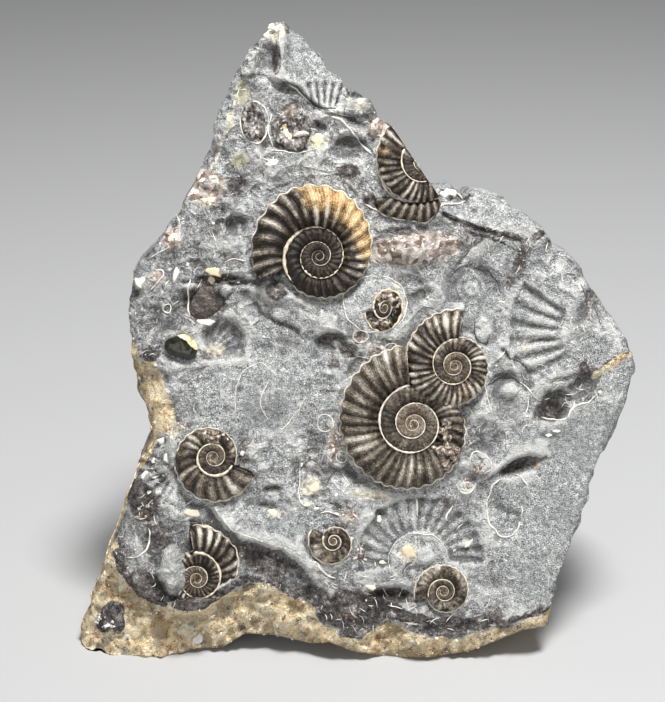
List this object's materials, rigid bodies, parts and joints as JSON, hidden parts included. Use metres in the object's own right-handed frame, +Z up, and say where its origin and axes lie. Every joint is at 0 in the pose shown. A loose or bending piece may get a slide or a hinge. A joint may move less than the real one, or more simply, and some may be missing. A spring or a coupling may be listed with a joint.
{
  "type": "fossil ammonite cluster",
  "caption": "Standing wedge of broken grey limestone with dark ribbed fossil ammonites proud of its leaning face and a tan weathered crust along its foot.",
  "frame": {"origin": "middle of the block's outline seen from above, on the surface it stands on", "axes": "+Z up, the longest extent; +X to the right of the fossil-bearing face as it is looked at; the face looks towards -Y and leans back 22 degrees"},
  "size_m": [0.1287, 0.0611, 0.1344],
  "materials": {
    "limestone": "matte broken stone",
    "dark_calcite": "satin polished fossil shell",
    "brown_crystal": "rough crystals",
    "black_shell": "glossy",
    "striped_shell": "satin"
  },
  "bodies": {
    "root": {"matrix": "limestone", "ammonite_upper": "dark_calcite", "ammonite_lower": "dark_calcite", "ammonite_overlapping": "dark_calcite", "ammonite_edge": "dark_calcite", "ammonite_edge_whorl": "dark_calcite", "ammonite_left": "dark_calcite", "ammonite_crust": "dark_calcite", "ammonite_small_middle": "dark_calcite", "ammonite_small_right": "dark_calcite", "ammonite_oblique": "dark_calcite", "ammonite_broken_left": "brown_crystal", "ammonite_broken_right": "brown_crystal", "shell_fragment_glossy": "black_shell", "shell_fragment_striated": "striped_shell"}
  },
  "joints": []
}
